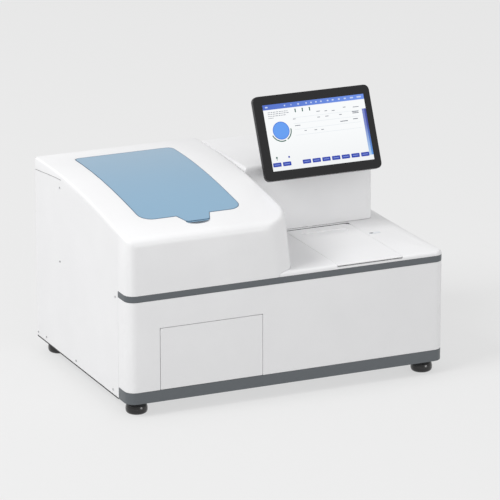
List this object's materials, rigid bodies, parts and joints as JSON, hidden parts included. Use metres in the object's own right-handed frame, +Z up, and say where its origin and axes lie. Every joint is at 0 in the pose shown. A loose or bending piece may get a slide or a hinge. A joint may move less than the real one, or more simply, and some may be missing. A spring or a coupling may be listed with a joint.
{
  "type": "chemiluminescence immunoassay analyzer",
  "caption": "Bench immunoassay analyzer: wave-shaped hood with a hinged lid over the reagent carousel, loading deck with a hatch, waste drawer, rear housing and tilting touch screen.",
  "frame": {"origin": "on the bench, under the middle of the cabinet", "axes": "+X to the right seen from the front, +Y to the rear, +Z up"},
  "size_m": [0.69, 0.486, 0.543],
  "materials": {
    "casing": "smooth satin white moulding",
    "panel": "fine-textured white powder coat",
    "band": "satin mid-grey moulding",
    "lid": "satin pale blue moulding",
    "foot": "glossy black",
    "dark_moulding": "satin black moulding",
    "screen_glass": "glossy black cover glass",
    "zinc": "zinc-plated sheet",
    "machined": "machined and anodised",
    "steel": "ground stainless",
    "liner": "matt light grey moulding",
    "pack": "natural translucent moulding",
    "board": "green solder mask"
  },
  "bodies": {
    "casing": {"base_tray": "zinc", "lower_trim_band": "band", "upper_trim_band": "band", "front_panel": "casing", "left_side_panel": "panel", "right_side_panel": "panel", "hood_shell": "casing", "hinge_bracket_left": "zinc", "hinge_bracket_right": "zinc", "rear_housing": "casing", "deck_cover": "casing", "loading_well": "liner", "chassis_frame": "zinc", "bay_liner": "liner", "carousel_motor": "dark_moulding", "column_base": "machined", "wash_station": "liner", "incubator_block": "machined", "photon_counter": "dark_moulding", "rear_panel": "panel", "power_inlet": "dark_moulding", "fan_frame": "dark_moulding", "interface_block": "zinc", "main_board": "board", "power_supply": "zinc", "syringe_pump": "dark_moulding", "syringe_barrel": "steel", "screen_stand": "casing"},
    "lid": {"lid_panel": "lid", "lid_arm_left": "zinc", "lid_arm_right": "zinc"},
    "hatch": {"hatch_cover": "casing"},
    "drawer": {"drawer_front": "casing", "drawer_tray": "zinc", "waste_bin": "band"},
    "screen": {"screen_back_shell": "dark_moulding", "screen_glass": "screen_glass", "display_panel": "machined", "screen_knuckle": "zinc"},
    "carousel": {"carousel_rotor": "liner", "carousel_knob": "band", "reagent_pack_1": "pack", "reagent_pack_2": "pack", "reagent_pack_3": "pack", "reagent_pack_4": "pack", "reagent_pack_5": "pack", "reagent_pack_6": "pack"},
    "probe_turret": {"column_sleeve": "steel"},
    "probe_head": {"probe_shaft": "steel", "probe_arm_cover": "casing", "probe_needle": "steel"},
    "syringe_drive": {"syringe_plunger": "steel"},
    "standby": {"standby_button": "band"},
    "rocker": {"power_rocker": "dark_moulding"},
    "fan": {"fan_rotor": "dark_moulding"},
    "foot_a": {"foot_front_left": "foot"},
    "foot_b": {"foot_rear_left": "foot"},
    "foot_c": {"foot_front_right": "foot"},
    "foot_d": {"foot_rear_right": "foot"}
  },
  "joints": [
    {"name": "lid_hinge", "type": "hinge", "parent": "casing", "child": "lid", "pos_m": [-0.1715, 0.215, 0.3945], "axis": [-1, 0, 0], "range_deg": [0, 92]},
    {"name": "hatch_hinge", "type": "hinge", "parent": "casing", "child": "hatch", "pos_m": [0.1785, 0.0033, 0.2538], "axis": [-1, 0, 0], "range_deg": [0, 55]},
    {"name": "drawer_slide", "type": "slide", "parent": "casing", "child": "drawer", "axis": [0, -1, 0], "range_m": [0, 0.23]},
    {"name": "screen_tilt", "type": "hinge", "parent": "casing", "child": "screen", "pos_m": [0.174, 0.03354, 0.44723], "axis": [-1, 0, 0], "range_deg": [-15, 25]},
    {"name": "carousel_turn", "type": "hinge", "parent": "casing", "child": "carousel", "pos_m": [-0.1715, -0.057, 0.25], "axis": [0, 0, 1], "continuous": true},
    {"name": "probe_turn", "type": "hinge", "parent": "casing", "child": "probe_turret", "pos_m": [-0.1715, 0.131, 0.268], "axis": [0, 0, 1], "range_deg": [-80, 0]},
    {"name": "probe_lift", "type": "slide", "parent": "probe_turret", "child": "probe_head", "axis": [0, 0, -1], "range_m": [0, 0.034]},
    {"name": "syringe_stroke", "type": "slide", "parent": "casing", "child": "syringe_drive", "axis": [0, 0, -1], "range_m": [0, 0.034]},
    {"name": "standby_press", "type": "slide", "parent": "casing", "child": "standby", "axis": [0, 0, -1], "range_m": [0, 0.0015], "stiffness_N_per_m": 400, "springref_m": -0.001},
    {"name": "power_switch", "type": "hinge", "parent": "casing", "child": "rocker", "pos_m": [0.3, 0.2288, 0.08], "axis": [1, 0, 0], "range_deg": [-10, 10]},
    {"name": "fan_spin", "type": "hinge", "parent": "casing", "child": "fan", "pos_m": [0.255, 0.217, 0.166], "axis": [0, 1, 0], "continuous": true},
    {"name": "foot_a_turn", "type": "hinge", "parent": "casing", "child": "foot_a", "pos_m": [-0.313, -0.207, 0.014], "axis": [0, 0, 1], "continuous": true},
    {"name": "foot_b_turn", "type": "hinge", "parent": "casing", "child": "foot_b", "pos_m": [-0.313, 0.207, 0.014], "axis": [0, 0, 1], "continuous": true},
    {"name": "foot_c_turn", "type": "hinge", "parent": "casing", "child": "foot_c", "pos_m": [0.313, -0.207, 0.014], "axis": [0, 0, 1], "continuous": true},
    {"name": "foot_d_turn", "type": "hinge", "parent": "casing", "child": "foot_d", "pos_m": [0.313, 0.207, 0.014], "axis": [0, 0, 1], "continuous": true}
  ]
}
